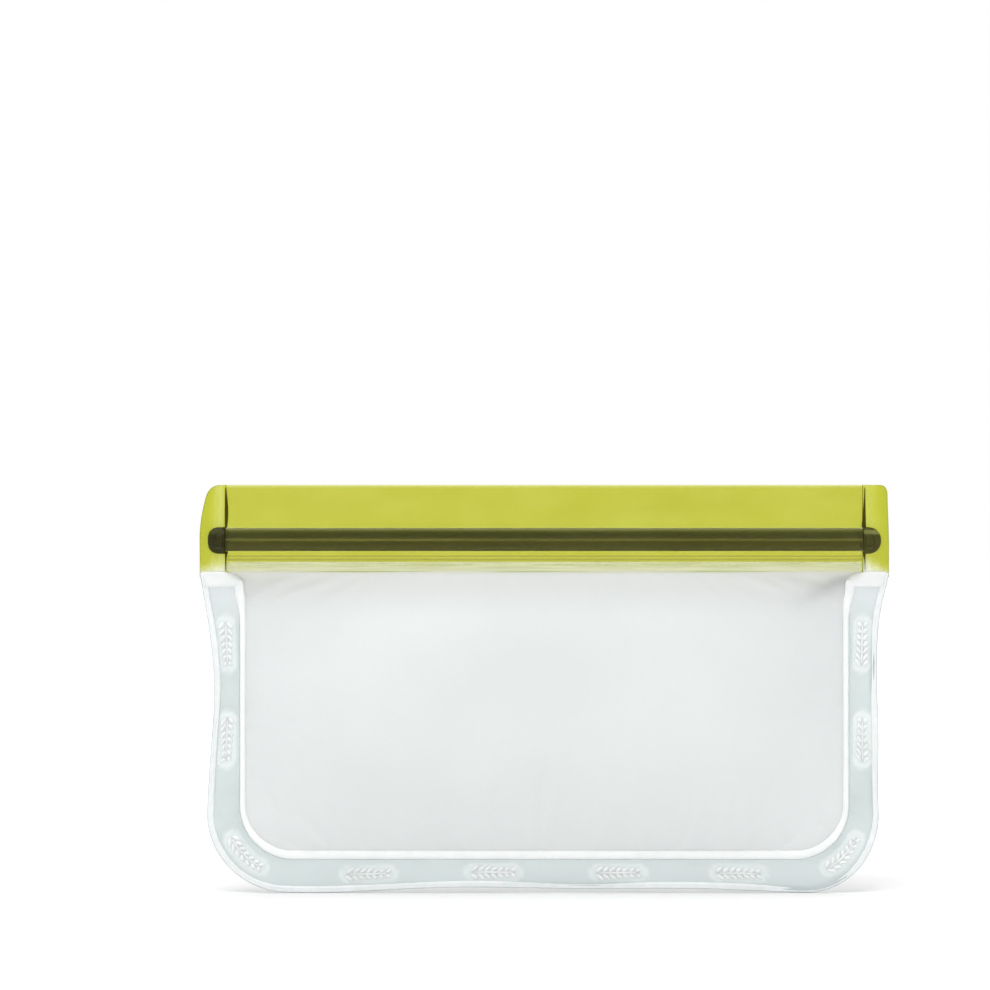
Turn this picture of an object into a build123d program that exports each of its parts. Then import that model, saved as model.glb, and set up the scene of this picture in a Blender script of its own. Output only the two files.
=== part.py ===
from build123d import *
from math import asin, pi
import os

# A reusable snack pouch. Two frosted films are welded together along the sides and the bottom, and
# a press closure of two tracks, between two tinted tapes, runs across the mouth at the top.
# X runs along the mouth, the front faces -Y and +Z is up. The origin is the middle of the bottom
# edge, in the plane where the two films meet. All lengths are millimetres.

# ---- driving dimensions ----
half_width = 98.5            # middle to the outer side of a side tab
height = 116.6               # bottom edge to the top of the lips
film = 0.45                  # thickness of one film
belly = 10.0                 # mid plane to the flat of the filled belly, one side
gap = 0.1                    # between two pieces welded to each other
swing_gap = 0.2              # between a wall that swings open and the welded frame

# ---- pouch: the hollow inside the inner weld ----
pouch_half = 85.1            # half width of a film's free area
pouch_bottom = 12.3
pouch_corner = 13.4
pouch_top = 94.7             # cut edge of the film, on the tape's skirt
hem_bottom = 91.5            # the film lies flat on the tape above this height
side_run = 30.0              # from the weld to the flat of the belly, along each edge
bottom_run = 21.0
top_run = 26.0
belly_corner = 9.0
belly_steps = (0, 0.35, 0.65, 0.88, 1)   # shares of the rise from the hem to the belly

# ---- welded frame ----
bead_half = 87.0             # outer side of the inner weld bead
bead_bottom = 9.6
bead_corner = 15.2
bead_thick = 1.8
border_top = 87.1
shoulder_top = 90.9          # welded band between the border and the tape
shoulder_turn = 3.0
rim_width = 1.2              # rounded bead along the cut edge of the bag
rim_thick = 1.2
outer_corner = 22.0
waist = [(98.5, 91.0), (95.4, 70.0), (94.7, 56.0), (95.6, 38.0), (96.0, 22.0)]

# ---- closure ----
tape_half = 91.0             # the tapes and tracks stop short of the side tabs
tape_thick = 0.4
tape_out = 2.1               # mid plane to a tape's outer face, over the tracks
lip_out = 0.65               # the same at the lips, which lie close together
tape_bottom = 91.7
bend_bottom = 105.2          # the lip leans in between these two heights
bend_top = 110.5
track_mid = 101.0            # height of the line between the two tracks
track_high = 3.15
track_pitch = 3.45
track_base = 0.75            # thickness of a track's base
throat = 1.3                 # width of a channel
rib = 1.1
rib_clear = 0.1              # rib tip to channel floor, and channel wall to rib base

# ---- side tabs and end stops ----
tab_in = tape_half + swing_gap
tab_bottom = shoulder_top + 2 * gap
tab_corner = 4.0
stop_radius = 3.9
stop_end = 96.7
stop_thick = 4.6
stop_round = 0.8

os.makedirs("parts", exist_ok=True)


def save(piece, label):
    piece.part.label = label
    export_step(piece.part, f"parts/{label}.step")


hem_out = tape_out + gap + film     # mid plane to the film's outer face over the tape

# ---- outlines, drawn on a sketch in the X-Z plane ----
def pouch_outline(half, bottom, corner, top, mode=Mode.ADD):
    """A rectangle with its two lower corners rounded, standing on `bottom`."""
    with BuildLine() as outline:
        side = Line((half, top), (half, bottom + corner))
        turn = TangentArc(side @ 1, (half - corner, bottom), tangent=side % 1)
        Line(turn @ 1, (0, bottom))
        mirror(about=Plane.YZ)
        Line((-half, top), (half, top))
    make_face(outline.edges(), mode=mode)


def weld_outline(grow, mode=Mode.ADD):
    """The inner weld with its shoulders, filled in, its lower side moved out by `grow`."""
    half = bead_half + grow
    corner = bead_corner + grow
    turn = shoulder_turn - grow
    under = border_top + gap - grow
    top = shoulder_top + grow
    with BuildLine() as outline:
        shoulder = Line((half_width, under), (half + turn, under))
        neck = TangentArc(shoulder @ 1, (half, under - turn), tangent=shoulder % 1)
        side = Line(neck @ 1, (half, bead_bottom - grow + corner))
        foot = TangentArc(side @ 1, (half - corner, bead_bottom - grow), tangent=side % 1)
        Line(foot @ 1, (0, bead_bottom - grow))
        end = Line((half_width, top), shoulder @ 0)
        Line((0, top), end @ 0)
        mirror(about=Plane.YZ)
    make_face(outline.edges(), mode=mode)


def bag_outline(inset, mode=Mode.ADD):
    """The bag's outer outline below the tabs, with its pulled-in waist, moved in by `inset`."""
    with BuildLine() as outline:
        side = Spline([(x - inset, z) for x, z in waist])
        foot = waist[-1][0] - outer_corner
        turn = TangentArc(side @ 1, (foot, inset), tangent=(0, -1))
        Line(turn @ 1, (0, inset))
        mirror(about=Plane.YZ)
        Line((inset - waist[0][0], waist[0][1]), side @ 0)
    make_face(outline.edges(), mode=mode)


def stop_outline(grow, mode=Mode.ADD):
    """An end stop, seen from the front: a round end outwards and a straight end at the tape."""
    middle = stop_end - stop_radius
    start = tab_in - grow
    with Locations((middle, track_mid)):
        Circle(stop_radius + grow, mode=mode)
    with Locations(((start + middle) / 2, track_mid)):
        Rectangle(middle - start, 2 * (stop_radius + grow), mode=mode)
    with Locations((start - half_width / 2, track_mid)):
        Rectangle(half_width, height, mode=Mode.SUBTRACT)


# ---- welded frame ----
with BuildPart() as fused_border:
    with BuildSketch(Plane.XZ):
        bag_outline(rim_width + gap)
        weld_outline(gap, Mode.SUBTRACT)
    extrude(amount=film, both=True)

with BuildPart() as inner_weld_bead:
    with BuildSketch(Plane.XZ):
        weld_outline(0)
        bag_outline(rim_width + gap, Mode.INTERSECT)
        bead_in = pouch_half + swing_gap
        bead_floor = pouch_bottom - swing_gap
        pouch_outline(bead_in, bead_floor, pouch_corner, height, Mode.SUBTRACT)
    extrude(amount=bead_thick / 2, both=True)

with BuildPart() as outer_edge_bead:
    with BuildSketch(Plane.XZ):
        bag_outline(0)
        bag_outline(rim_width, Mode.SUBTRACT)
    extrude(amount=rim_thick / 2, both=True)

with BuildPart() as right_side_tab:
    with BuildSketch(Plane.XZ):
        with Locations((tab_in, tab_bottom)):
            Rectangle(half_width - tab_in, height - tab_bottom, align=(Align.MIN, Align.MIN))
        fillet(vertices().group_by(Axis.Y)[-1].sort_by(Axis.X)[-1], tab_corner)
        stop_outline(gap, Mode.SUBTRACT)
    extrude(amount=film, both=True)

with BuildPart() as right_end_stop:
    with BuildSketch(Plane.XZ):
        stop_outline(0)
    extrude(amount=stop_thick / 2, both=True)
    fillet(edges().filter_by(GeomType.CIRCLE), stop_round)

with BuildPart() as left_side_tab:
    mirror(right_side_tab.part, about=Plane.YZ)

with BuildPart() as left_end_stop:
    mirror(right_end_stop.part, about=Plane.YZ)


# ---- films ----
def film_section(depth, shift, top):
    """Outline of a filled film where its outer face is `depth` from the mid plane, at depth - shift."""
    slope = asin(depth / belly) / (pi / 2)
    half = pouch_half - side_run * slope
    bottom = pouch_bottom + bottom_run * slope
    corner = pouch_corner + (belly_corner - pouch_corner) * slope
    top_corner = belly_corner * slope
    with BuildSketch(Plane.XZ.offset(depth - shift)) as section:
        with BuildLine() as outline:
            base = Line((0, bottom), (half - corner, bottom))
            foot = TangentArc(base @ 1, (half, bottom + corner), tangent=base % 1)
            side = Line(foot @ 1, (half, top - top_corner))
            turn = TangentArc(side @ 1, (half - top_corner, top), tangent=side % 1)
            Line(turn @ 1, (0, top))
            mirror(about=Plane.YZ)
        make_face(outline.edges())
    return section.sketch


def filled_side(shift, mouth):
    """The room behind a film: a flat-sided foot up to `mouth` and a curved belly below the hem."""
    foot = [film_section(depth, shift, mouth) for depth in (gap, hem_out)]
    curve = []
    for share in belly_steps:
        depth = hem_out + (belly - hem_out) * share
        fall = top_run * asin(share) / (pi / 2)
        curve.append(film_section(depth, shift, hem_bottom - fall))
    with BuildPart() as room:
        loft(foot, ruled=True)
        loft(curve, ruled=True)
    return room.part


with BuildPart() as front_panel:
    add(filled_side(0, pouch_top))
    add(filled_side(film, height), mode=Mode.SUBTRACT)
    with BuildSketch(Plane.XZ):
        with Locations((0, hem_bottom)):
            Rectangle(2 * half_width, height, align=(Align.CENTER, Align.MIN))
    extrude(amount=hem_out - film, mode=Mode.SUBTRACT)
    with BuildSketch(Plane.XZ.offset(hem_out - film)):
        with Locations((0, hem_bottom)):
            Rectangle(2 * tape_half, pouch_top - hem_bottom, align=(Align.CENTER, Align.MIN))
    extrude(amount=film)

with BuildPart() as back_panel:
    mirror(front_panel.part, about=Plane.XZ)


# ---- closure, drawn in the Y-Z plane and run along X ----
with BuildPart() as front_tape:
    with BuildSketch(Plane.YZ):
        with BuildLine():
            outside = Polyline(
                (-tape_out, tape_bottom),
                (-tape_out, bend_bottom),
                (-lip_out, bend_top),
                (-lip_out, height),
            )
            inside = Polyline([(p.X + tape_thick, p.Y) for p in outside.vertices()])
            Line(outside @ 0, inside @ 0)
            Line(outside @ 1, inside @ 1)
        make_face()
    extrude(amount=tape_half, both=True)

with BuildPart() as back_tape:
    mirror(front_tape.part, about=Plane.XZ)

track_out = tape_out - tape_thick - gap
track_floor = track_out - track_base
track_tip = track_floor - rib_clear


def channel_profile(middle):
    """One track of the front tape: a base with a channel that opens towards the back."""
    with Locations((-track_out, middle)):
        Rectangle(track_out + track_tip, track_high, align=(Align.MIN, Align.CENTER))
    with Locations((-track_floor, middle)):
        Rectangle(belly, throat, align=(Align.MIN, Align.CENTER), mode=Mode.SUBTRACT)


def rib_profile(middle):
    """The matching track of the back tape: a base with a rib that presses into the channel."""
    with Locations((track_out, middle)):
        Rectangle(track_base, track_high, align=(Align.MAX, Align.CENTER))
        Rectangle(track_out + track_tip, rib, align=(Align.MAX, Align.CENTER))


with BuildPart() as front_upper_channel:
    with BuildSketch(Plane.YZ):
        channel_profile(track_mid + track_pitch / 2)
    extrude(amount=tape_half, both=True)

with BuildPart() as front_lower_channel:
    with BuildSketch(Plane.YZ):
        channel_profile(track_mid - track_pitch / 2)
    extrude(amount=tape_half, both=True)

with BuildPart() as back_upper_rib:
    with BuildSketch(Plane.YZ):
        rib_profile(track_mid + track_pitch / 2)
    extrude(amount=tape_half, both=True)

with BuildPart() as back_lower_rib:
    with BuildSketch(Plane.YZ):
        rib_profile(track_mid - track_pitch / 2)
    extrude(amount=tape_half, both=True)

save(fused_border, "fused_border")
save(inner_weld_bead, "inner_weld_bead")
save(outer_edge_bead, "outer_edge_bead")
save(left_side_tab, "left_side_tab")
save(right_side_tab, "right_side_tab")
save(left_end_stop, "left_end_stop")
save(right_end_stop, "right_end_stop")
save(front_panel, "front_panel")
save(back_panel, "back_panel")
save(front_tape, "front_tape")
save(back_tape, "back_tape")
save(front_upper_channel, "front_upper_channel")
save(front_lower_channel, "front_lower_channel")
save(back_upper_rib, "back_upper_rib")
save(back_lower_rib, "back_lower_rib")
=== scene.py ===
from math import cos, pi, radians, sin

import bmesh
import bpy
import numpy as np
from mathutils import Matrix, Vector


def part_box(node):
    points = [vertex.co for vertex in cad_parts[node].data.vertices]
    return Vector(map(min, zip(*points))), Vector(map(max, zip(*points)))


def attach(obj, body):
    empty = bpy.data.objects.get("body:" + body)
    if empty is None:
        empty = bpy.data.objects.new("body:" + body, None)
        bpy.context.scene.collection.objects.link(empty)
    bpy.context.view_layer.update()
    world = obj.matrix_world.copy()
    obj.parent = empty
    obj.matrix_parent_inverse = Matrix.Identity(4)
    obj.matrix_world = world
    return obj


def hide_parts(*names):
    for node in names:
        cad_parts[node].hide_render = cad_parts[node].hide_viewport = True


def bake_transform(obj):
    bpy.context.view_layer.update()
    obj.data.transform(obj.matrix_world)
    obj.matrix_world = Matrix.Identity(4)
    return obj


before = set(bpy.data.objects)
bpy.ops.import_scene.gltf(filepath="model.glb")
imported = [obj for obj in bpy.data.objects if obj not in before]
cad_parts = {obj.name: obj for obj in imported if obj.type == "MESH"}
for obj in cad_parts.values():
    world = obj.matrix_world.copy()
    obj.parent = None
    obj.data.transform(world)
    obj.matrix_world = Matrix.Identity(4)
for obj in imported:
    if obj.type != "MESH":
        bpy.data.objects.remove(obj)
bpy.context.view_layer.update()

# A reusable zip pouch. Lengths in this script are millimetres in the CAD's frame: X runs along the
# mouth, the front faces -Y and +Z is up. They turn into metres where a mesh or a lamp is made.
MM = 0.001


def box_mm(node):
    low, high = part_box(node)
    return np.array(low) / MM, np.array(high) / MM


# ---- sizes from the frame ----
rim_high = box_mm("outer_edge_bead")[1]
tape_low, tape_high = box_mm("front_tape")
film_low, film_high = box_mm("front_panel")
weld_low, weld_high = box_mm("inner_weld_bead")
stop_low, stop_high = box_mm("right_end_stop")
track_low, track_high = box_mm("front_lower_channel")
upper_low, upper_high = box_mm("front_upper_channel")

half_width = rim_high[0]
height = tape_high[2]
tape_half = tape_high[0]
tape_bottom = tape_low[2]
tape_out = -tape_low[1]
film_top = film_high[2]
film_bottom = film_low[2]
belly = -film_low[1]
weld_bottom = weld_low[2]
weld_top = weld_high[2]
track_mid = (stop_low[2] + stop_high[2]) / 2
track_height = track_high[2] - track_low[2]
track_pitch = upper_low[2] - track_low[2]
tracks_half = (upper_high[2] - track_low[2]) / 2

# ---- sizes of the looks ----
sheet = 0.45                 # one film, and half of the fused border
tape_thick = 0.4
lip_out = 0.65               # mid plane to the outer face of a lip
bend_top = 110.5             # the lips lean together up to here
hem_bottom = 91.6            # the film lies on the tape above this height
pouch_half = 85.2            # half width of the film's free area
pouch_corner = 13.5          # radius of that area's lower corners
flare_bottom = 86.0          # above this height the film's free area widens under the tape
seam_depth = 0.4             # mid plane to the outer face of a film at its welds
crease_depth = 0.7           # mid plane to the outer face of a film in its deepest crease
free_depth = 0.7 * belly     # a film is squeezed where it comes further out than this
bead_half = 87.0             # outer half width of the inner weld
bead_corner = 15.3           # outer radius of its lower corners
edge_corner = 22.0           # radius of the lower corners of the cut edge
rim_width = 1.9
waist_half = 94.7            # half width of the bag where it is narrowest
waist_z = 56                 # the height of that place
full_z = 91                  # the sides are back at the full width from this height up
mark_share = 0.46            # middle line of the sprigs, on the way from the weld to the edge
mark_heights = (71, 42.5)    # the sprigs at each side
mark_places = (-51, -15, 21, 57)    # the sprigs along the base, by their X
mark_half = 5.6              # half length of a whitened mark, without its round ends
mark_round = 3.4             # radius of its round ends
beside_tracks = 1.35         # mid plane to a tape's outer face just above and below its tracks
stop_radius = (stop_high[2] - stop_low[2]) / 2
stop_reach = stop_high[0] - 0.5    # outer end of a stop
stop_drop = 0.3              # the stops sit a little below the middle of the tracks
tab_inner = tape_half - 0.15    # where a tab starts, just under the tape's end


def smooth(t):
    t = np.clip(t, 0, 1)
    return t * t * (3 - 2 * t)


# ---- meshes ----
def add_object(name, data):
    made = bpy.data.objects.new(name, data)
    bpy.context.scene.collection.objects.link(made)
    return made


def add_piece(name, points, faces, material, body=None, level=0):
    """A smooth-shaded mesh from points in millimetres."""
    mesh = bpy.data.meshes.new(name)
    mesh.from_pydata((np.asarray(points) * MM).tolist(), [], [tuple(map(int, f)) for f in faces])
    tidy = bmesh.new()
    tidy.from_mesh(mesh)
    bmesh.ops.recalc_face_normals(tidy, faces=tidy.faces)
    tidy.to_mesh(mesh)
    tidy.free()
    mesh.polygons.foreach_set("use_smooth", [True] * len(mesh.polygons))
    mesh.materials.append(material)
    still = mesh.attributes.new("still", "FLOAT_VECTOR", "POINT")
    still.data.foreach_set("vector", np.array([v.co for v in mesh.vertices]).ravel())
    piece = add_object(name, mesh)
    if level:
        rounder = piece.modifiers.new("round", "SUBSURF")
        rounder.levels = level
        rounder.render_levels = level
    if body:
        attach(piece, body)
    return piece


def paint(piece, name, values):
    """Stores a number at each point of a piece, for its material."""
    made = piece.data.attributes.new(name, "FLOAT", "POINT")
    made.data.foreach_set("value", np.ravel(values).astype(np.float32))


def grid_faces(index):
    """The four-sided faces of a grid of points, from the numbers of the points."""
    corners = [index[:-1, :-1], index[:-1, 1:], index[1:, 1:], index[1:, :-1]]
    return np.stack(corners, axis=-1).reshape(-1, 4)


def slab(front, back):
    """Points and faces of a closed sheet between two grids of points with the same layout."""
    rows, columns = front.shape[:2]
    index = np.arange(rows * columns).reshape(rows, columns)
    quads = grid_faces(index)
    far = quads[:, ::-1] + rows * columns
    loop = np.concatenate([index[0, :-1], index[:-1, -1], index[-1, :0:-1], index[:0:-1, 0]])
    ahead = np.roll(loop, -1)
    edge = np.stack([ahead, loop, loop + rows * columns, ahead + rows * columns], axis=-1)
    points = np.concatenate([front.reshape(-1, 3), back.reshape(-1, 3)])
    return points, np.concatenate([quads, far, edge]).tolist()


def tube(rings):
    """Points and faces of a closed solid through a row of rings of points."""
    count, size = rings.shape[:2]
    index = np.arange(count * size).reshape(count, size)
    turned = np.roll(index, -1, axis=1)
    corners = [index[:-1], turned[:-1], turned[1:], index[1:]]
    faces = np.stack(corners, axis=-1).reshape(-1, 4).tolist()
    faces.append(index[0, ::-1].tolist())
    faces.append(index[-1].tolist())
    return rings.reshape(-1, 3), faces


def join(parts):
    """Points and faces of several solids as one."""
    points, faces, start = [], [], 0
    for part_points, part_faces in parts:
        points.append(part_points)
        faces.extend([[i + start for i in face] for face in part_faces])
        start += len(part_points)
    return np.concatenate(points), faces


def flip_y(solid):
    """The same solid on the other side of the mid plane."""
    points, faces = solid
    return points * np.array([1, -1, 1]), faces


def bow(piece):
    """Bakes the piece's placement into its points."""
    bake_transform(piece)


# ---- materials ----
def new_material(name):
    """An empty material and its node tree."""
    made = bpy.data.materials.new(name)
    made.use_nodes = True
    made.node_tree.nodes.clear()
    return made, made.node_tree


def feed(tree, socket, value):
    """Sets an input to a number or a colour, or links the output of another node to it."""
    if isinstance(value, bpy.types.NodeSocket):
        tree.links.new(value, socket)
    else:
        socket.default_value = value


def node(tree, kind, values=None, **settings):
    made = tree.nodes.new(kind)
    for key, value in settings.items():
        setattr(made, key, value)
    for key, value in (values or {}).items():
        feed(tree, made.inputs[key], value)
    return made


def calc(tree, operation, *values):
    """The result of a sum on numbers and outputs of other nodes."""
    return node(tree, "ShaderNodeMath", dict(enumerate(values)), operation=operation).outputs[0]


def position(tree, scale=(1, 1, 1)):
    """Place in millimetres, scaled, for a texture. It is the place at rest, so that a texture moves
    with the wall it is on."""
    place = node(tree, "ShaderNodeAttribute", attribute_name="still").outputs["Vector"]
    factors = [s / MM for s in scale]
    return node(tree, "ShaderNodeVectorMath", {0: place, 1: factors}, operation="MULTIPLY").outputs[0]


def place_along(tree, axis):
    """Place at rest along X, Y or Z, in millimetres."""
    return node(tree, "ShaderNodeSeparateXYZ", {0: position(tree)}).outputs[axis]


def painted(tree, name):
    """The number stored by paint()."""
    return node(tree, "ShaderNodeAttribute", attribute_name=name).outputs["Fac"]


def noise(tree, vector, scale, detail):
    values = {"Vector": vector, "Scale": scale, "Detail": detail, "Roughness": 0.5}
    return node(tree, "ShaderNodeTexNoise", values).outputs["Fac"]


def ramp(tree, factor, stops):
    """Colours at places along a factor."""
    made = node(tree, "ShaderNodeValToRGB", {"Fac": factor})
    band = made.color_ramp
    while len(band.elements) < len(stops):
        band.elements.new(0.5)
    for element, (place, colour) in zip(band.elements, stops):
        element.position = place
        element.color = colour
    return made.outputs["Color"]


def span(tree, value, low, high, to_low=0.0, to_high=1.0):
    """Goes smoothly from to_low to to_high while the value goes from low to high."""
    values = {"Value": value, "From Min": low, "From Max": high, "To Min": to_low, "To Max": to_high}
    return node(tree, "ShaderNodeMapRange", values, interpolation_type="SMOOTHSTEP").outputs["Result"]


def stripe(tree, value, start, full, fade, end):
    """Rises from 0 at `start` to 1 at `full`, and falls from 1 at `fade` to 0 at `end`."""
    return calc(tree, "MULTIPLY", span(tree, value, start, full), span(tree, value, end, fade))


def mix_colour(tree, factor, a, b):
    made = node(tree, "ShaderNodeMix", data_type="RGBA")
    feed(tree, made.inputs["Factor"], factor)
    feed(tree, made.inputs[6], a)
    feed(tree, made.inputs[7], b)
    return made.outputs[2]


def bump(tree, factor, distance, strength, after=None):
    """A normal raised by a factor, on top of the normal `after` if there is one."""
    values = {"Height": factor, "Strength": strength, "Distance": distance * MM}
    if after:
        values["Normal"] = after
    return node(tree, "ShaderNodeBump", values).outputs["Normal"]


def mix_shader(tree, factor, a, b):
    return node(tree, "ShaderNodeMixShader", {0: factor, 1: a, 2: b}).outputs[0]


def soft_plastic(tree, colour, tint, clear, glow, normal, gloss, roughness):
    """A thin plastic sheet. A share `clear` of it is see-through, tinted by `tint`. The rest is milky:
    a share `glow` of that scatters light through. `gloss` scales the reflection on top."""
    milk = node(tree, "ShaderNodeBsdfDiffuse", {"Color": colour})
    through = node(tree, "ShaderNodeBsdfTranslucent", {"Color": colour})
    window = node(tree, "ShaderNodeBsdfTransparent", {"Color": tint})
    shine = node(tree, "ShaderNodeBsdfGlossy", {"Roughness": roughness})
    fresnel = node(tree, "ShaderNodeFresnel", {"IOR": 1.45})
    if normal:
        for lit in (milk, through, shine, fresnel):
            feed(tree, lit.inputs["Normal"], normal)
    milky = mix_shader(tree, glow, milk.outputs[0], through.outputs[0])
    body = mix_shader(tree, clear, milky, window.outputs[0])
    share = calc(tree, "MULTIPLY", fresnel.outputs[0], gloss)
    return mix_shader(tree, share, body, shine.outputs[0])


def finish_material(tree, shader):
    node(tree, "ShaderNodeOutputMaterial", {"Surface": shader})


def film_material():
    """Frosted film: milky with a fine orange peel, and clearer where it is welded onto a tape. A broken
    green line shows at the tape's lower edge."""
    made, tree = new_material("frosted_film")
    clouds = noise(tree, position(tree), 0.02, 2.0)
    peel = noise(tree, position(tree), 1.6, 2.0)
    streaks = noise(tree, position(tree, (0.04, 1, 1)), 1.3, 2.0)
    breaks = noise(tree, position(tree, (0.03, 1, 1)), 1.0, 2.0)
    z = place_along(tree, "Z")
    under_tape_shade = span(tree, z, hem_bottom - 14, hem_bottom - 3)
    base_light = span(tree, z, film_bottom + 28, film_bottom)
    milk = ramp(tree, clouds, [(0.3, (0.785, 0.80, 0.80, 1)), (0.7, (0.825, 0.84, 0.84, 1))])
    # Painted shade: the film is darker just under the tape.
    milk = mix_colour(tree, under_tape_shade, milk, (0.735, 0.745, 0.74, 1))
    # Painted light: the film is lighter towards its base.
    milk = mix_colour(tree, base_light, milk, (0.83, 0.84, 0.84, 1))
    # Painted shade: the film is darker along the soft creases at the upper corners.
    milk = mix_colour(tree, painted(tree, "crease_shade"), milk, (0.53, 0.54, 0.545, 1))
    hem = span(tree, z, hem_bottom - 0.1, hem_bottom + 0.5)
    colour = mix_colour(tree, hem, milk, (0.96, 0.965, 0.87, 1))
    line = stripe(tree, z, tape_bottom - 0.25, tape_bottom, tape_bottom + 0.2, tape_bottom + 0.45)
    line = calc(tree, "MULTIPLY", line, span(tree, breaks, 0.42, 0.62))
    colour = mix_colour(tree, line, colour, (0.55, 0.62, 0.30, 1))
    up_hem = span(tree, z, hem_bottom + 0.3, film_top - 0.5, 0.5, 1.0)
    press = span(tree, streaks, 0.35, 0.65, 0.20, 0.33)
    clear = calc(tree, "MULTIPLY_ADD", calc(tree, "MULTIPLY", hem, up_hem), press, 0.48)
    normal = bump(tree, peel, 0.02, 0.5)
    shader = soft_plastic(tree, colour, (0.985, 0.99, 0.99, 1), clear, 0.45, normal, 0.35, 0.4)
    finish_material(tree, shader)
    return made


def border_material():
    """Two films fused: clearer and cooler than the film, and whitened where the press has marked it."""
    made, tree = new_material("fused_film")
    clouds = noise(tree, position(tree), 0.09, 3.0)
    peel = noise(tree, position(tree), 1.1, 3.0)
    z = place_along(tree, "Z")
    frosted = painted(tree, "frosted")
    colour = ramp(tree, clouds, [(0.3, (0.555, 0.60, 0.595, 1)), (0.7, (0.635, 0.68, 0.675, 1))])
    # Painted light: the fused film is lighter towards its top and its base.
    colour = mix_colour(tree, span(tree, z, 72, 86), colour, (0.70, 0.715, 0.725, 1))
    colour = mix_colour(tree, span(tree, z, 14, 5), colour, (0.68, 0.72, 0.72, 1))
    colour = mix_colour(tree, frosted, colour, (0.79, 0.82, 0.82, 1))
    clear = span(tree, frosted, 0, 1, 0.48, 0.36)
    normal = bump(tree, peel, 0.03, 0.6)
    shader = soft_plastic(tree, colour, (0.89, 0.93, 0.93, 1), clear, 0.45, normal, 0.4, 0.3)
    finish_material(tree, shader)
    return made


def weld_material():
    """Pressed weld: nearly opaque white, with a fine knurl left by the welding bar."""
    made, tree = new_material("pressed_weld")
    clouds = noise(tree, position(tree), 0.2, 3.0)
    wave = {"Vector": position(tree), "Scale": 0.55, "Distortion": 0.6}
    knurl = node(tree, "ShaderNodeTexWave", wave, wave_type="BANDS", bands_direction="DIAGONAL")
    colour = ramp(tree, clouds, [(0.3, (0.865, 0.885, 0.88, 1)), (0.7, (0.92, 0.93, 0.925, 1))])
    normal = bump(tree, knurl.outputs["Fac"], 0.03, 0.5)
    shader = soft_plastic(tree, colour, (1, 1, 1, 1), 0.08, 0.35, normal, 0.3, 0.4)
    finish_material(tree, shader)
    return made


def rim_material():
    """The cut edge: a clear rounded bead, with painted shade that turns it grey where it is seen edge-on.
    """
    made, tree = new_material("cut_rim")
    facing = node(tree, "ShaderNodeLayerWeight", {"Blend": 0.35}).outputs["Facing"]
    clouds = noise(tree, position(tree), 0.4, 2.0)
    bright = ramp(tree, clouds, [(0.3, (0.88, 0.91, 0.91, 1)), (0.7, (0.95, 0.96, 0.96, 1))])
    # Painted shade: grey where the bead is seen edge-on.
    colour = mix_colour(tree, span(tree, facing, 0.5, 0.9), bright, (0.30, 0.31, 0.31, 1))
    shader = soft_plastic(tree, colour, (0.9, 0.92, 0.92, 1), 0.15, 0.3, None, 0.5, 0.25)
    finish_material(tree, shader)
    return made


TAPE = (0.62, 0.64, 0.06, 1)
TAPE_DEEP = (0.50, 0.50, 0.03, 1)
TAPE_PALE = (0.70, 0.72, 0.14, 1)


def tape_colours(tree):
    """Yellow-green with soft streaks along the mouth."""
    streaks = noise(tree, position(tree, (0.12, 1, 1)), 0.12, 3.0)
    return ramp(tree, streaks, [(0.25, TAPE_DEEP), (0.5, TAPE), (0.8, TAPE_PALE)])


def tape_material():
    """Clear tinted tape: what lies behind it shows through. Two darker lines run above the film."""
    made, tree = new_material("tinted_tape")
    lines = noise(tree, position(tree, (0.03, 1, 1)), 0.9, 2.0)
    soft = noise(tree, position(tree, (0.5, 1, 1)), 0.12, 3.0)
    z = place_along(tree, "Z")
    tint = ramp(tree, soft, [(0.3, (0.868, 0.873, 0.49, 1)), (0.7, (0.885, 0.892, 0.54, 1))])
    for line, width in ((film_top + 0.55, 0.5), (film_top + 1.5, 0.35)):
        away = calc(tree, "ABSOLUTE", calc(tree, "SUBTRACT", z, line))
        tint = mix_colour(tree, span(tree, away, width, 0.1), tint, (0.82, 0.815, 0.52, 1))
    normal = bump(tree, soft, 0.3, 0.4, bump(tree, lines, 0.02, 0.4))
    shader = soft_plastic(tree, tape_colours(tree), tint, 0.97, 0.5, normal, 0.45, 0.25)
    finish_material(tree, shader)
    return made


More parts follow.
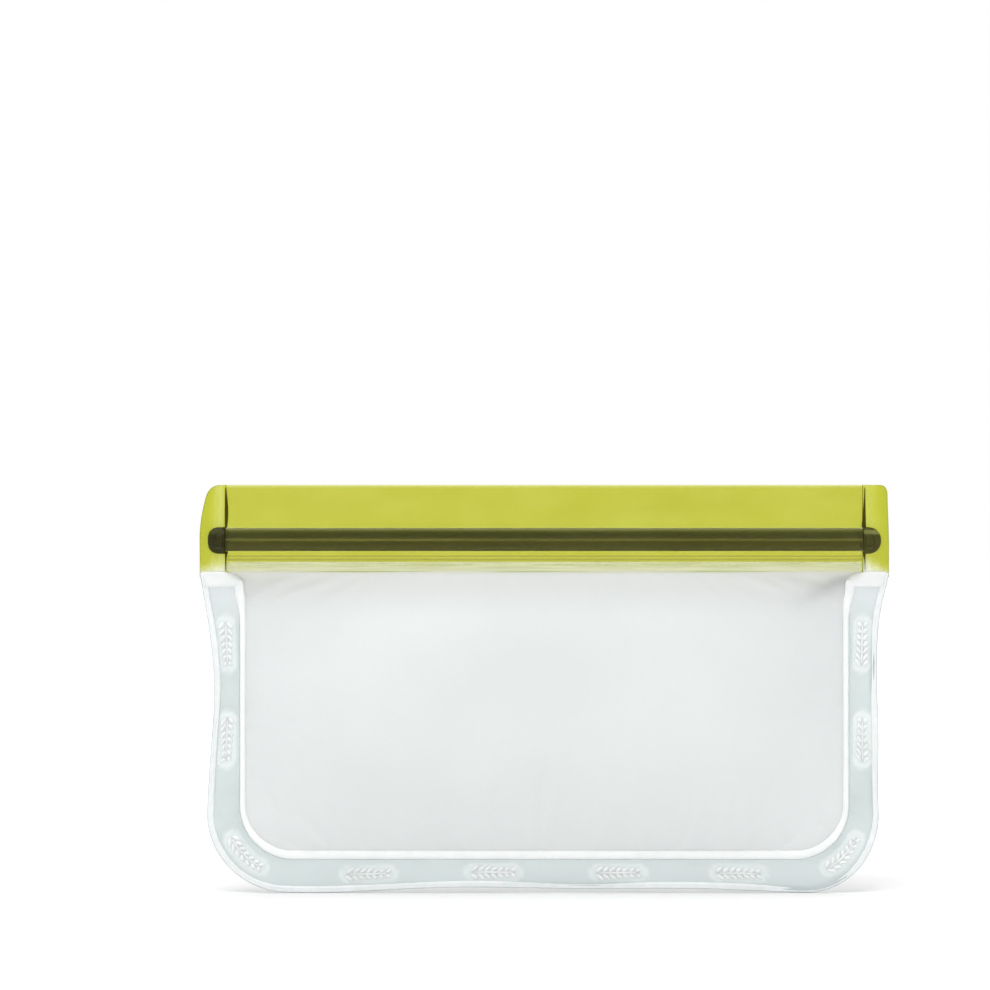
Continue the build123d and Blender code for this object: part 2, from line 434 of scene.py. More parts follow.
def tab_material():
    """The tape's tint, deeper at the outer side, with a painted highlight along the fold at the crimp and
    painted shade where the tab is seen edge-on. Below a rough line that comes lower towards the sides, it
    fades to white, where the tab runs into the weld."""
    made, tree = new_material("welded_tab")
    x = place_along(tree, "X")
    away = calc(tree, "ABSOLUTE", x)
    steep = 0.4
    ragged = noise(tree, position(tree, (1, 1, 0.5)), 0.35, 3.0)
    level = calc(tree, "MULTIPLY_ADD", ragged, 5.0, place_along(tree, "Z"))
    level = calc(tree, "MULTIPLY_ADD", away, steep, level)
    foot = tape_bottom + steep * half_width + 1.0
    fade = span(tree, level, foot - 2.0, foot + 4.5)
    clear = span(tree, level, foot - 2.0, foot + 2.5, 0.1, 0.75)
    facing = node(tree, "ShaderNodeLayerWeight", {"Blend": 0.5}).outputs["Facing"]
    outer = span(tree, away, tape_half + 2.5, half_width)
    green = mix_colour(tree, outer, tape_colours(tree), (0.46, 0.48, 0.02, 1))
    # Painted shade: darker where the tab is seen edge-on.
    green = mix_colour(tree, span(tree, facing, 0.1, 0.45), green, (0.22, 0.22, 0.03, 1))
    # Painted highlight: a pale band along the fold beside the crimp, weaker on the right.
    crimp = stripe(tree, away, tape_half + 0.1, tape_half + 1.1, tape_half + 1.2, tape_half + 4.6)
    crimp = calc(tree, "MULTIPLY", crimp, span(tree, x, -1, 1, 0.9, 0.5))
    green = mix_colour(tree, crimp, green, (0.83, 0.85, 0.45, 1))
    colour = mix_colour(tree, fade, (0.87, 0.88, 0.85, 1), green)
    tint = mix_colour(tree, fade, (0.98, 0.98, 0.95, 1), (0.76, 0.78, 0.25, 1))
    normal = bump(tree, noise(tree, position(tree), 0.8, 3.0), 0.04, 0.5)
    shader = soft_plastic(tree, colour, tint, clear, 0.4, normal, 0.4, 0.3)
    finish_material(tree, shader)
    return made


def dark_plastic(tree, colour, lines, shine):
    normal = bump(tree, lines, 0.03, 0.5)
    values = {"Base Color": colour, "Roughness": 0.4, "Specular IOR Level": shine, "Normal": normal}
    finish_material(tree, node(tree, "ShaderNodeBsdfPrincipled", values).outputs[0])


def track_material():
    """Dark olive extrusion with long streaks. Its bands are painted light: a painted highlight on a green
    upper strip and on the line where the two tracks meet, and painted shade around them.
    """
    made, tree = new_material("track_plastic")
    lines = noise(tree, position(tree, (0.02, 1, 1)), 0.9, 3.0)
    values = {
        "Value": place_along(tree, "Z"),
        "From Min": track_mid - tracks_half,
        "From Max": track_mid + tracks_half,
    }
    up = node(tree, "ShaderNodeMapRange", values).outputs["Result"]
    # Painted highlights and painted shade, set by height on the tracks.
    shade_and_highlight_bands = ramp(tree, up, [
        (0.0, (0.020, 0.015, 0.002, 1)), (0.12, (0.038, 0.032, 0.012, 1)),
        (0.42, (0.034, 0.031, 0.014, 1)), (0.47, (0.200, 0.190, 0.290, 1)),
        (0.51, (0.200, 0.190, 0.290, 1)), (0.55, (0.034, 0.034, 0.016, 1)),
        (0.68, (0.013, 0.015, 0.007, 1)), (0.78, (0.036, 0.038, 0.040, 1)),
        (0.88, (0.095, 0.100, 0.120, 1)), (0.95, (0.085, 0.090, 0.100, 1)),
        (1.0, (0.015, 0.018, 0.006, 1)),
    ])
    streaks = ramp(tree, lines, [(0.3, (0.75, 0.75, 0.75, 1)), (0.75, (1.25, 1.2, 1.1, 1))])
    colour = node(tree, "ShaderNodeVectorMath", {0: shade_and_highlight_bands, 1: streaks}, operation="MULTIPLY").outputs[0]
    dark_plastic(tree, colour, lines, 0.2)
    return made


def stop_material(name, dark, pale, shine, top_highlight=None):
    """Dark moulded plastic, with a painted highlight in a band under its upper edge if a highlight colour
    is given.
    """
    made, tree = new_material(name)
    grain = noise(tree, position(tree), 0.9, 3.0)
    colour = ramp(tree, grain, [(0.3, dark), (0.75, pale)])
    if top_highlight:
        z = place_along(tree, "Z")
        # Painted highlight: a lighter band under the upper edge.
        band = stripe(tree, z, track_mid + 1.2, track_mid + 1.8, track_mid + 2.4, track_mid + 3.0)
        colour = mix_colour(tree, band, colour, top_highlight)
    dark_plastic(tree, colour, grain, shine)
    return made


def floor_material():
    """Pale, and a little darker near the bag as the camera sees it, so that the soft shadow shows."""
    made, tree = new_material("pale_floor")
    grain = noise(tree, position(tree), 0.05, 3.0)
    bounce = ramp(tree, grain, [(0.3, (0.90, 0.90, 0.90, 1)), (0.7, (0.92, 0.92, 0.92, 1))])
    near = ramp(tree, grain, [(0.3, (0.66, 0.66, 0.66, 1)), (0.7, (0.67, 0.67, 0.67, 1))])
    reach = node(tree, "ShaderNodeVectorMath", {0: position(tree)}, operation="LENGTH")
    shown = mix_colour(tree, span(tree, reach.outputs["Value"], 200, 900), near, bounce)
    path = node(tree, "ShaderNodeLightPath")
    colour = mix_colour(tree, path.outputs["Is Camera Ray"], bounce, shown)
    values = {"Base Color": colour, "Roughness": 0.8, "Specular IOR Level": 0.1}
    finish_material(tree, node(tree, "ShaderNodeBsdfPrincipled", values).outputs[0])
    return made


film_look = film_material()
border_look = border_material()
weld_look = weld_material()
rim_look = rim_material()
tape_look = tape_material()
tab_look = tab_material()
track_look = track_material()
# Painted light: both stops are one plastic, a shaded copy on the left and a lit copy, with a brighter
# highlight band, on the right.
left_stop_look = stop_material(
    "left_plastic", (0.013, 0.012, 0.001, 1), (0.026, 0.025, 0.003, 1), 0.15, (0.036, 0.037, 0.008, 1)
)
right_stop_look = stop_material(
    "right_plastic", (0.028, 0.027, 0.002, 1), (0.050, 0.049, 0.007, 1), 0.15, (0.130, 0.135, 0.035, 1)
)
# Painted shadow: dark wedges in the creases beside the tabs stand in for shade.
crease_shadow_look = stop_material("crease_shadow", (0.035, 0.028, 0.002, 1), (0.050, 0.040, 0.003, 1), 0.05)


# ---- the border's paths: left top, down, round the corners, along the bottom and up ----
SIDE_STEPS = 64
TURN_STEPS = 26
BASE_STEPS = 110


def u_path(half_at, bottom, corner, top):
    """Points (x, z) of a U: sides at half_at(z) from the middle, round corners and a level base."""
    low = bottom + corner
    centre = half_at(low) - corner
    side_z = np.linspace(top, low, SIDE_STEPS, endpoint=False)
    side = np.stack([half_at(side_z), side_z], axis=-1)
    angle = np.linspace(0, pi / 2, TURN_STEPS, endpoint=False)
    turn = np.stack([centre + corner * np.cos(angle), low - corner * np.sin(angle)], axis=-1)
    base_x = np.linspace(centre, 0, BASE_STEPS // 2 + 1)
    base = np.stack([base_x, np.full_like(base_x, bottom)], axis=-1)
    right = np.concatenate([side, turn, base])
    left = right[:-1] * np.array([-1, 1])
    return np.concatenate([left, right[::-1]])


def cos_arch(x, length):
    """A smooth arch about the middle, from 0 up to 1 and back over a length."""
    return np.where(np.abs(x) < length / 2, np.cos(pi * x / length) ** 2, 0)


def waist(z):
    """Half width of the bag below its tabs: the filling pulls the sides in."""
    upper = (half_width - waist_half) * np.clip((z - waist_z) / (full_z - waist_z), 0, 1) ** 2
    lower = 1.3 * np.clip((waist_z - z) / (waist_z - edge_corner), 0, 1) ** 1.5
    return waist_half + upper + lower


def outward(path):
    """Unit normals of a path, pointing out of the bag."""
    along = np.gradient(path, axis=0)
    along /= np.linalg.norm(along, axis=1)[:, None]
    return np.stack([along[:, 1], -along[:, 0]], axis=-1)


def sway(x, z, share):
    """How far the loose border waves out of the mid plane, `share` of the way to its edge."""
    wave = 0.85 * np.sin(0.105 * x + 0.13 * z + 0.7) + 0.55 * np.sin(0.21 * z - 0.068 * x + 2.1)
    quiet = smooth((weld_top - z) / 18)
    return wave * quiet * smooth(share)


edge_path = u_path(waist, 0.0, edge_corner, weld_top)
edge_out = outward(edge_path)
ripple = 0.45 * np.sin(0.088 * edge_path[:, 0] + 0.1 * edge_path[:, 1] + 0.8)
edge_path = edge_path + edge_out * (ripple * smooth((weld_top - edge_path[:, 1]) / 12))[:, None]
edge_path[:, 1] += 1.1 * cos_arch(edge_path[:, 0], 150) * smooth((10 - edge_path[:, 1]) / 8) + 0.45
weld_path = u_path(lambda z: bead_half + 0 * z, weld_bottom, bead_corner, weld_top)


def border_point(station, share):
    """Mid-plane point of the border at a station, `share` of the way from the weld to the edge."""
    low = int(station)
    part = station - low
    weld = weld_path[low] * (1 - part) + weld_path[low + 1] * part
    edge = edge_path[low] * (1 - part) + edge_path[low + 1] * part
    x, z = weld + (edge - weld) * share
    return np.array([x, sway(x, z, share), z])


def press_marks():
    """Stations of the border where a sprig is pressed: at the corners, the sides and the base."""
    corner = SIDE_STEPS + TURN_STEPS // 2
    last = len(edge_path) - 1
    marks = [corner, last - corner]
    for z in mark_heights:
        nearest = int(np.argmin(np.abs(edge_path[:SIDE_STEPS, 1] - z)))
        marks += [nearest, last - nearest]
    base = np.arange(SIDE_STEPS + TURN_STEPS, last - SIDE_STEPS - TURN_STEPS)
    for x in mark_places:
        marks.append(int(base[np.argmin(np.abs(edge_path[base, 0] - x))]))
    return marks


def near_mark(mark, along, across):
    """Mid-plane point of the border so far along it and across it from a mark."""
    spacing = np.linalg.norm(border_point(mark + 1, mark_share) - border_point(mark - 1, mark_share)) / 2
    band = np.linalg.norm(border_point(mark, 1) - border_point(mark, 0))
    return border_point(mark + along / spacing, mark_share + across / band)


def frosting(points):
    """How much the press has whitened the border at each point, from 0 to 1."""
    nearest = np.full(points.shape[:-1], np.inf)
    for mark in press_marks():
        for along in np.linspace(-mark_half, mark_half, 9):
            away = np.linalg.norm(points - near_mark(mark, along, 0), axis=-1)
            nearest = np.minimum(nearest, away)
    return smooth((mark_round - nearest) / 1.3)


def make_border():
    """The two fused films between the inner weld and the cut edge, puckered near the weld."""
    shares = np.linspace(0, 1, 15)
    stations = len(edge_path)
    middle = np.zeros((stations, len(shares), 3))
    for row in range(stations):
        for column, share in enumerate(shares):
            middle[row, column] = border_point(min(row, stations - 1.001), share)
    along = np.arange(stations)[:, None]
    pucker = 0.10 * np.sin(along * 1.25) + 0.07 * np.sin(along * 0.71 + 1)
    middle[:, :, 1] += pucker * (1 - shares[None, :]) ** 2 * smooth(shares * 6)
    half = np.array([0, sheet, 0])
    solid = slab(middle - half, middle + half)
    piece = add_piece("border_sheet", *solid, border_look, "welded_frame")
    paint(piece, "frosted", [frosting(middle)] * 2)
    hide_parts("fused_border")


def oval(width, depth, count=14, power=2.6):
    """Cross-section of a pressed bead: a rounded rectangle about the origin."""
    angle = np.arange(count) * 2 * pi / count
    c, s = np.cos(angle), np.sin(angle)
    across = np.sign(c) * np.abs(c) ** (2 / power) * width / 2
    through = np.sign(s) * np.abs(s) ** (2 / power) * depth / 2
    return np.stack([across, through], axis=-1)


def sweep(path, normal, y, width, section, shift=None):
    """A section of unit width run along a path; width and shift may change along the way."""
    width = np.broadcast_to(width, len(path))
    shift = np.zeros(len(path)) if shift is None else shift
    across = section[None, :, 0] * width[:, None] + shift[:, None]
    rings = np.zeros((len(path), len(section), 3))
    rings[:, :, 0] = path[:, None, 0] + across * normal[:, None, 0]
    rings[:, :, 1] = y[:, None] + section[None, :, 1]
    rings[:, :, 2] = path[:, None, 1] + across * normal[:, None, 1]
    return tube(rings)


def make_rim():
    """The cut edge: two small beads side by side."""
    y = sway(edge_path[:, 0], edge_path[:, 1], 1.0)
    inset = edge_path - edge_out * (rim_width / 2)
    section = oval(1.0, 1.3, 32, 2.8)
    section[:, 1] *= 1 - 0.3 * np.exp(-((section[:, 0] - 0.08) / 0.1) ** 2)
    piece = add_piece("edge_rim", *sweep(inset, edge_out, y, rim_width, section), rim_look, "welded_frame")
    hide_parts("outer_edge_bead")


def free_half(z):
    """Half width of the film's free area: it flares out under the tape."""
    flare = np.clip((z - flare_bottom) / (hem_bottom - flare_bottom), 0, 1)
    return pouch_half + (tape_half - pouch_half - 0.2) * (1 - (1 - flare**3) ** (1 / 3))


def make_weld():
    """The inner bead, widening up to its two shoulders."""
    bead_low = film_bottom - weld_bottom
    side_width = bead_half - pouch_half
    path = u_path(lambda z: bead_half + 0 * z, weld_bottom, bead_corner, weld_top - 1)
    normal = outward(path)
    level = smooth((weld_bottom + bead_corner - path[:, 1]) / bead_corner)
    flare = 1.7 * smooth((path[:, 1] - 78) / 9)
    width = side_width + (bead_low - side_width) * level + flare
    solids = [sweep(path, normal, 0 * level, width, oval(1.0, 1.8), flare - width / 2)]
    for side in (-1, 1):
        rows = np.linspace(weld_top - 3.6, weld_top + 0.9, 10)
        shares = np.linspace(0, 1, 16)
        z, share = np.meshgrid(rows, shares, indexing="ij")
        inner = free_half(z) + 0.05
        outer = waist(z) - 0.8
        x = inner + (outer - inner) * share
        rounding = np.minimum(share, 1 - share) * 16
        rounding = np.minimum(rounding, (z - rows[0]) * 2)
        depth = 0.45 + 0.4 * np.sqrt(np.clip(rounding, 0, 1))
        front = np.stack([side * x, -depth, z], axis=-1)
        back = np.stack([side * x, depth, z], axis=-1)
        solids.append(slab(front, back))
    piece = add_piece("weld_bead", *join(solids), weld_look, "welded_frame")
    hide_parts("inner_weld_bead")


# ---- sprigs pressed into the border ----
def egg(mark, size, offset=(0, 0), lean=0.0):
    """A flattened egg pressed out of the border near a mark."""
    ring, steps = 12, 9
    rings = np.zeros((steps - 1, ring, 3))
    for step in range(1, steps):
        tilt = pi * step / steps
        for turn in range(ring):
            angle = 2 * pi * turn / ring
            a = -cos(tilt) * size[0] / 2
            b = sin(tilt) * cos(angle) * size[1] / 2
            along = offset[0] + a * cos(lean) - b * sin(lean)
            across = offset[1] + a * sin(lean) + b * cos(lean)
            point = near_mark(mark, along, across)
            point[1] += sin(tilt) * sin(angle) * size[2] / 2
            rings[step - 1, turn] = point
    return tube(rings)


def make_sprigs():
    """A leaf sprig on each frosted mark: a stem and seven pairs of leaves."""
    solids = []
    for mark in press_marks():
        solids.append(egg(mark, (14.2, 0.8, 2 * sheet + 0.66)))
        for pair in range(7):
            length = 3.1 - 0.2 * pair
            for side in (-1, 1):
                place = (1.85 * pair - 5.4, side * (0.2 + length * 0.31))
                leaf = (length, 1.25, 2 * sheet + 0.70)
                solids.append(egg(mark, leaf, place, radians(38 * side)))
    piece = add_piece("press_sprigs", *join(solids), weld_look, "welded_frame", level=1)


# ---- closure ----
def tape_depth(x, z):
    """Mid plane to the outer face of a tape. It arches over its tracks, with a groove between them. It
    leans in above them, where its lip wanders a little, and stands out below them, with a fine rib. At
    its ends it is pinched above and below the stops."""
    off = np.abs(z - track_mid)
    arch = np.sqrt(1 - np.clip((off - tracks_half + 1.4) / 1.5, 0, 1) ** 2)
    depth = beside_tracks + (tape_out - beside_tracks) * arch
    depth = depth - 0.1 * smooth(1 - off / 0.5)
    lean = smooth((z - track_mid - tracks_half) / (bend_top - track_mid - tracks_half))
    depth = depth - (beside_tracks - lip_out) * lean
    below = track_mid - tracks_half - z
    depth = depth + 0.3 * smooth(below / 4) + 0.1 * smooth(1 - np.abs(below - 1.6) / 0.5)
    wander = 0.10 * np.sin(0.071 * x + 0.4) + 0.06 * np.sin(0.163 * x - 0.2 * z)
    depth = depth + wander * lean * smooth((tape_half - np.abs(x)) / 12)
    off_stop = smooth((off - tracks_half) / 1.2)
    pinch = smooth((np.abs(x) - tape_half + 1.9) / 1.8) * off_stop
    ends = 0.55 + 0.5 * smooth((below - 2) / 1.5)
    return depth + (ends - depth) * pinch


def make_tape(name, node_name, side):
    """One wall's tape, with more columns near its ends. The front lip is a little lower."""
    ends = tape_half - 8 * (1 - np.linspace(0, 1, 14)) ** 1.5
    middle = np.linspace(-ends[0], ends[0], 74)[1:-1]
    columns = np.concatenate([-ends[::-1], middle, ends])
    top = height - (0.45 if side < 0 else 0)
    wall_rows = np.linspace(tape_bottom, bend_top, 75, endpoint=False)
    rows = np.concatenate([wall_rows, np.linspace(bend_top, top, 10)])
    z, x = np.meshgrid(rows, columns, indexing="ij")
    depth = tape_depth(x, z)
    outer = np.stack([x, -depth, z], axis=-1)
    inner = np.stack([x, -depth + tape_thick, z], axis=-1)
    solid = slab(outer, inner)
    if side > 0:
        solid = flip_y(solid)
    piece = add_piece(name, *solid, tape_look)
    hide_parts(node_name)
    bow(piece)


def profile_run(profile, columns=92):
    """A closed Y-Z profile run along the mouth between the end stops."""
    rings = np.zeros((columns, len(profile), 3))
    rings[:, :, 0] = np.linspace(-tape_half, tape_half, columns)[:, None]
    rings[:, :, 1:] = np.array(profile)[None]
    return tube(rings)


def rounded_back(middle, flange):
    """Back of a track from its lower edge to its upper one: (depth, height) points. The flange is a
    thin strip that reaches the middle of the closure."""
    h = track_height / 2
    inner, outer, strip = 0.87, 1.58, 1.2
    tip = h + (track_pitch - track_height) / 2 - 0.01
    plain = [(inner, h), (1.32, h - 0.25)]
    flanged = [(inner, h), (strip, h), (strip, tip), (outer, tip)]
    below = [(depth, -rise) for depth, rise in (plain if flange > 0 else flanged)]
    above = (flanged if flange > 0 else plain)[::-1]
    run = below + [(outer, 0.8 - h), (1.66, 0), (outer, h - 0.8)] + above
    return [(depth, middle + rise) for depth, rise in run]


def channel_profile(middle, flange):
    """A channel with small hooks at its mouth and a rounded back, for the front wall."""
    h = track_height / 2
    floor, tip = 0.85, -0.72
    upper = [
        (tip + 0.3, h), (tip, h - 0.35), (tip, 0.66),
        (tip + 0.25, 0.56), (tip + 0.55, 0.66), (floor, 0.7),
    ]
    mouth = upper + [(depth, -rise) for depth, rise in upper[::-1]]
    points = rounded_back(middle, flange) + [(depth, middle + rise) for depth, rise in mouth]
    return [(-depth, rise) for depth, rise in points]


def rib_profile(middle, flange):
    """A ribbed track with an arrow head, for the back wall."""
    base, tip = 0.88, -0.74
    upper = [(base, 0.45), (tip + 0.75, 0.4), (tip + 0.6, 0.56), (tip + 0.15, 0.4), (tip, 0.15)]
    head = upper + [(depth, -rise) for depth, rise in upper[::-1]]
    return rounded_back(middle, flange) + [(depth, middle + rise) for depth, rise in head]


def make_tracks():
    """Two channels on the front wall, and the two ribs on the back wall that snap into them."""
    for level, up in (("upper", 0.5), ("lower", -0.5)):
        middle = track_mid + up * track_pitch
        profile = channel_profile(middle, -up)
        channel = add_piece(f"{level}_channel", *profile_run(profile), track_look)
        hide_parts(f"front_{level}_channel")
        bow(channel)
        rib = add_piece(f"{level}_rib", *profile_run(rib_profile(middle, -up)), track_look)
        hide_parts(f"back_{level}_rib")
        bow(rib)


# ---- side tabs and end stops ----
def tab_edge(side, z):
    """Outer side of a tab: both narrow towards the top, and the left one has a wider round corner."""
    if side < 0:
        side_x = half_width - 1.9 * np.clip((z - 101) / 13, 0, 1.2) ** 2
        corner = 3.3
    else:
        side_x = half_width - 0.025 * np.clip(z - 99, 0, None)
        corner = 2.4
    up = np.clip((z - height + corner) / corner, 0, 1)
    return side_x - corner * 0.9 * (1 - (1 - up**2.2) ** (1 / 2.2))


def make_tab(side, name, node_name):
    """The two tapes pressed together outside the tracks, with a fold beside the crimp."""
    corner = 4.5
    straight = np.linspace(weld_top - 0.6, height - corner, 33, endpoint=False)
    turn = height - corner * (1 - np.sin(np.linspace(0, pi / 2, 18)))
    rows = np.concatenate([straight, turn])
    shares = 1 - (1 - np.linspace(0, 1, 22)) ** 1.6
    z, share = np.meshgrid(rows, shares, indexing="ij")
    width = tab_edge(side, z) - tab_inner
    x = tab_inner + width * share
    curl = (1.5 if side < 0 else 0.7) * smooth((z - 102) / 15) * share**2
    curl = curl + 0.2 * np.sin(0.35 * z) * share
    to_edge = np.minimum((1 - share) * width, height - z)
    round_off = np.clip(to_edge / 0.55, 0, 1)
    half = 0.06 + 0.39 * np.sqrt(1 - (1 - round_off) ** 2)
    fold = 0.22 * smooth(1 - np.abs(x - tape_half - 1.4) / 1.1) * smooth((height - z) / 3)
    front = np.stack([side * x, curl - half - fold, z], axis=-1)
    back = np.stack([side * x, curl + half + fold, z], axis=-1)
    piece = add_piece(name, *slab(front, back), tab_look, "welded_frame")
    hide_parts(node_name)


def stop_outline(power, count=40):
    """A rounded outer end and a straight inner end, as (x, z) about the stop's middle, right side."""
    radius = stop_radius - 0.1
    flat = stop_reach - stop_low[0] - radius
    angle = np.linspace(-pi / 2, pi / 2, count)
    c, s = np.cos(angle), np.sin(angle)
    arc = radius * np.stack([c ** (2 / power), np.sign(s) * np.abs(s) ** (2 / power)], axis=-1)
    down = np.linspace(radius, -radius, 14)
    straight = np.stack([np.full(14, -flat), down], axis=-1)
    return np.concatenate([arc, straight])


def make_stop(side, name, node_name, look):
    """A domed plug with a shallow ringed dimple on each face."""
    outline = stop_outline(2.7 if side < 0 else 2.2)
    thick = stop_high[1] - stop_low[1]
    steps = [
        (0.02, 0.50), (0.30, 0.50), (0.42, 0.49), (0.47, 0.44), (0.52, 0.44), (0.58, 0.5),
        (0.72, 0.5), (0.86, 0.47), (0.95, 0.40), (1.0, 0.28), (1.0, 0.0),
    ]
    rings = []
    for scale, depth in steps + [(s, -d) for s, d in steps[-2::-1]]:
        ring = np.zeros((len(outline), 3))
        ring[:, 0] = side * (stop_reach - stop_radius + outline[:, 0] * scale)
        ring[:, 1] = -thick * depth
        ring[:, 2] = track_mid - stop_drop + outline[:, 1] * scale
        rings.append(ring)
    piece = add_piece(name, *tube(np.array(rings)), look, "welded_frame")
    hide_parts(node_name)


def crease(side, rows, width):
    """A dark wedge of a given width beside a tab, on both faces: a painted shadow in the crease there."""
    solids = []
    section = oval(1.0, 0.6, 10, 2.2)
    for face in (-1, 1):
        depth = face * (tape_depth(side * (tape_half - 1.2), rows) * 0.5 + 0.35)
        centre = side * (tape_half + (0.1 if side < 0 else 0.6) - width * 0.3)
        rings = np.zeros((len(rows), len(section), 3))
        rings[:, :, 0] = centre[:, None] + section[None, :, 0] * width[:, None]
        rings[:, :, 1] = depth[:, None] + section[None, :, 1]
        rings[:, :, 2] = rows[:, None]
        solids.append(tube(rings))
    return solids


def make_crease_shadows():
    """The dark wedges beside the tabs: painted shadow in the creases where the two tapes are crimped
    together.
    """
    above = np.linspace(stop_high[2] - 0.4, height - 0.8, 30)
    up = (above - above[0]) / (above[-1] - above[0])
    below = np.linspace(stop_low[2] + 0.4, tape_bottom + 0.6, 16)
    down = (below[0] - below) / (below[0] - below[-1])
    solids = crease(-1, above, 0.22 + 0.8 * np.sin(pi * (0.12 + 0.88 * up)) * (1 - 0.35 * up))
    solids += crease(1, above, 0.12 + 1.0 * (1 - up) ** 1.2)
    for side in (-1, 1):
        solids += crease(side, below, 0.14 + 0.75 * (1 - down) ** 3)
    piece = add_piece("tab_crease_shadows", *join(solids), crease_shadow_look, "welded_frame")


# ---- films ----
def film_layout():
    """Flat grid of one film: x and z of rows from the bottom weld to the top edge. The grid is tucked a
    little way into the weld."""
    columns = 111
    turn = np.linspace(0, pi / 2, 12, endpoint=False)
    tuck = 0.8
    corner = pouch_corner + tuck
    corner_z = film_bottom - tuck + corner * (1 - np.cos(turn))
    corner_half = pouch_half + tuck - corner * (1 - np.sin(turn))
    side_z = np.linspace(film_bottom - tuck + corner, flare_bottom, 37, endpoint=False)
    top_z = np.linspace(flare_bottom, hem_bottom, 6, endpoint=False)
    hem_z = np.linspace(hem_bottom, film_top, 4)
    upper_z = np.concatenate([side_z, top_z, hem_z])
    rows = np.concatenate([corner_z, upper_z])
    half = np.concatenate([corner_half, free_half(upper_z) + tuck * smooth((hem_bottom - upper_z) / 4)])
    share = np.linspace(-1, 1, columns)
    x = half[:, None] * share[None, :]
    z = np.broadcast_to(rows[:, None], x.shape)
    return x, z


def rest_depth(x, z):
    """Where the film is held: near the mid plane at its welds, and on the tape at its hem."""
    up = smooth((z - flare_bottom + 4) / (hem_bottom - flare_bottom + 4))
    on_tape = tape_depth(x, np.maximum(z, tape_bottom)) + sheet + 0.14
    return seam_depth + (on_tape - seam_depth) * up


def puffed_depth(x, z):
    """A plain pillow: where the simulation starts from."""
    up = np.clip((z - film_bottom) / (hem_bottom - film_bottom), 0, 1)
    lift = np.where(up < 0.5, 1 - np.abs(2 * up - 1) ** 2.5, np.cos(pi * (up - 0.5)) ** 2)
    across = 1 - np.clip(np.abs(x) / pouch_half, 0, 1) ** 4
    return rest_depth(x, z) + 9.0 * across * lift


CLOTH = {
    "quality": 8,
    "mass": 0.15,
    "tension_stiffness": 30,
    "compression_stiffness": 30,
    "shear_stiffness": 12,
    "bending_stiffness": 0.8,
    "air_damping": 4,
    "use_pressure": True,
    "uniform_pressure_force": 6.0,
    "shrink_min": -0.005,
    "vertex_group_mass": "pins",
}
CLOTH_FRAMES = 30
CLOTH_SCALE = 10.0           # the cloth is simulated at this many times its size


def simulated_films(x, z):
    """Both films blown up as cloth held at their welds: a grid of points of each, with the depth
    counted outwards from the mid plane."""
    rows, columns = x.shape
    base = rest_depth(x, z)
    pillow = 0.88 * (puffed_depth(x, z) - base)
    seed = np.sin(0.047 * x + 0.6) * np.sin(0.06 * z + 1) + 0.6 * np.sin(0.083 * x - 0.11 * z)
    held = np.zeros((rows, columns), bool)
    held[0] = held[:, 0] = held[:, -1] = True
    held[z >= hem_bottom - 0.01] = True
    quads = grid_faces(np.arange(rows * columns).reshape(rows, columns))
    scene = bpy.context.scene
    results = []
    for side, phase in ((-1, 0.0), (1, 1.0)):
        dents = (0.5 * seed * cos(phase) + 0.4 * np.roll(seed, 13, 1)) * np.clip(pillow / 4, 0, 1)
        start = base + np.where(held, 0, pillow + dents)
        points = np.stack([x, side * start, z], axis=-1).reshape(-1, 3) * MM * CLOTH_SCALE
        faces = quads if side < 0 else quads[:, ::-1]
        mesh = bpy.data.meshes.new("cloth")
        mesh.from_pydata(points.tolist(), [], faces.tolist())
        blown = add_object("cloth", mesh)
        pins = blown.vertex_groups.new(name="pins")
        pins.add(np.flatnonzero(held.ravel()).tolist(), 1.0, "REPLACE")
        cloth = blown.modifiers.new("cloth", "CLOTH")
        for key, value in CLOTH.items():
            setattr(cloth.settings, key, value)
        cloth.settings.effector_weights.gravity = 0
        cloth.collision_settings.use_collision = False
        for step in range(1, CLOTH_FRAMES + 1):
            scene.frame_set(step)
        done = blown.evaluated_get(bpy.context.evaluated_depsgraph_get()).data
        places = np.zeros(rows * columns * 3, np.float32)
        done.vertices.foreach_get("co", places)
        places = places.reshape(rows, columns, 3) / (MM * CLOTH_SCALE)
        results.append(places * np.array([1, side, 1]))
        bpy.data.objects.remove(blown)
        scene.frame_set(1)
    return results


def corner_creases(x, z):
    """The soft creases that run in from the two upper corners, from 0 to 1."""
    width = 2.2
    total = np.zeros_like(x)
    for side, slope, reach, strength in ((-1, 72, 12, 0.3), (1, 27, 24, 0.85)):
        angle = radians(slope)
        inward, down = pouch_half + 3 - side * x, hem_bottom - 0.6 - z
        along = inward * cos(angle) + down * sin(angle)
        across = inward * sin(angle) - down * cos(angle)
        total += strength * np.exp(-((across / width) ** 2)) * (1 - smooth(along / reach))
    return total * smooth((hem_bottom + 1 - z) / 3)


def grid_normals(points):
    """Unit normals at the points of a grid."""
    along = np.gradient(points, axis=1)
    up = np.gradient(points, axis=0)
    normal = np.cross(along, up)
    return normal / np.linalg.norm(normal, axis=2)[:, :, None]


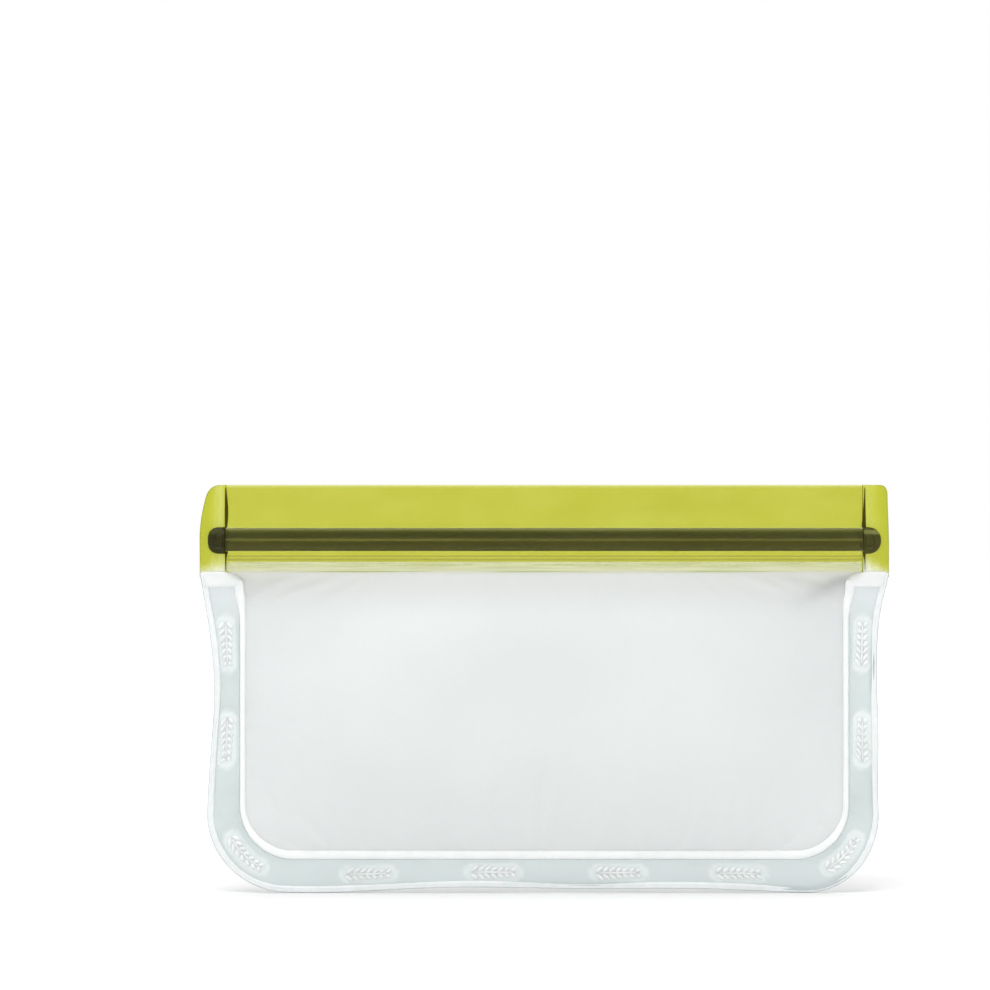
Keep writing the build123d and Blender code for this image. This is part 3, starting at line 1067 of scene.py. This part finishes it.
def make_films():
    """Both walls of the pouch: folded in at the upper corners, with painted shade along those folds, and
    eased where they come out too far.
    """
    x, z = film_layout()
    shapes = simulated_films(x, z)
    names = (("front_film", "front_panel", "front_wall"), ("back_film", "back_panel", "back_wall"))
    for side, shape, (name, node_name, wall) in zip((-1, 1), shapes, names):
        depth = shape[:, :, 1]
        folds = corner_creases(shape[:, :, 0], shape[:, :, 2])
        valley = 1.3 * folds * smooth((hem_bottom - shape[:, :, 2]) / 3)
        depth = np.maximum(depth - valley, np.minimum(depth, crease_depth))
        over = np.clip(depth - free_depth, 0, None)
        room = belly - free_depth
        shape[:, :, 1] = np.minimum(depth, free_depth) + room * np.tanh(over / room)
        normal = grid_normals(shape)
        inner = shape - normal * sheet * np.sign(normal[:, :, 1:2])
        flip = np.array([1, side, 1])
        piece = add_piece(name, *slab(shape * flip, inner * flip), film_look, level=1)
        # The crease values are stored for the film's material, which paints shade along them.
        paint(piece, "crease_shade", [folds] * 2)
        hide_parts(node_name)
        bow(piece)


# ---- stage ----
def make_stage():
    """A plain pale floor."""
    reach = 4000
    corners = [(-reach, -reach, 0), (reach, -reach, 0), (reach, reach, 0), (-reach, reach, 0)]
    floor = add_piece("floor", corners, [(0, 1, 2, 3)], floor_material())


def add_lamp(name, place, target, size, power):
    lamp = bpy.data.lights.new(name, "AREA")
    lamp.shape = "RECTANGLE"
    lamp.size, lamp.size_y = size[0] * MM, size[1] * MM
    lamp.energy = power
    holder = add_object(name, lamp)
    holder.location = Vector(place) * MM
    holder.rotation_euler = (Vector(target) - Vector(place)).to_track_quat("-Z", "Y").to_euler()


def make_lights():
    """White surroundings as the camera sees them, softer as they light the bag, and three soft lamps."""
    world = bpy.data.worlds.new("studio")
    bpy.context.scene.world = world
    world.use_nodes = True
    tree = world.node_tree
    way = node(tree, "ShaderNodeTexCoord").outputs["Generated"]
    up = node(tree, "ShaderNodeSeparateXYZ", {0: way}).outputs["Z"]
    seen = node(tree, "ShaderNodeLightPath").outputs["Is Camera Ray"]
    strength = calc(tree, "MAXIMUM", seen, span(tree, up, -0.3, 0.8, 0.56, 0.9))
    backdrop = tree.nodes["Background"]
    feed(tree, backdrop.inputs["Strength"], strength)
    feed(tree, backdrop.inputs["Color"], (1, 1, 1, 1))
    sun = bpy.data.lights.new("overhead", "SUN")
    sun.energy = 1.2
    sun.angle = radians(50)
    holder = add_object("overhead", sun)
    holder.rotation_euler = (radians(12), radians(-8), 0)
    middle = (0, 0, height / 2)
    add_lamp("key", (-150, -600, 880), middle, (800, 500), 5)
    add_lamp("rear", (200, 500, 900), middle, (900, 500), 3)


def make_camera():
    """Straight on, level with the top of the bag, with the bag low and to the right in the picture."""
    distance, view_width = 1200.0, 282.9
    aim_x, aim_z = -14.1, 113.7
    lens = bpy.data.cameras.new("camera")
    lens.sensor_width = 36
    lens.lens = lens.sensor_width * distance / view_width
    camera = add_object("camera", lens)
    camera.location = np.array([aim_x, -distance, aim_z]) * MM
    camera.rotation_euler = (pi / 2, 0, 0)
    bpy.context.scene.camera = camera
    bpy.context.scene.view_settings.view_transform = "Standard"


make_border()
make_sprigs()
make_weld()
make_rim()
make_films()
make_tape("front_tape_sheet", "front_tape", -1)
make_tape("back_tape_sheet", "back_tape", 1)
make_tracks()
make_tab(-1, "left_tab", "left_side_tab")
make_tab(1, "right_tab", "right_side_tab")
make_stop(-1, "left_stop", "left_end_stop", left_stop_look)
make_stop(1, "right_stop", "right_end_stop", right_stop_look)
make_crease_shadows()
make_stage()
make_lights()
make_camera()
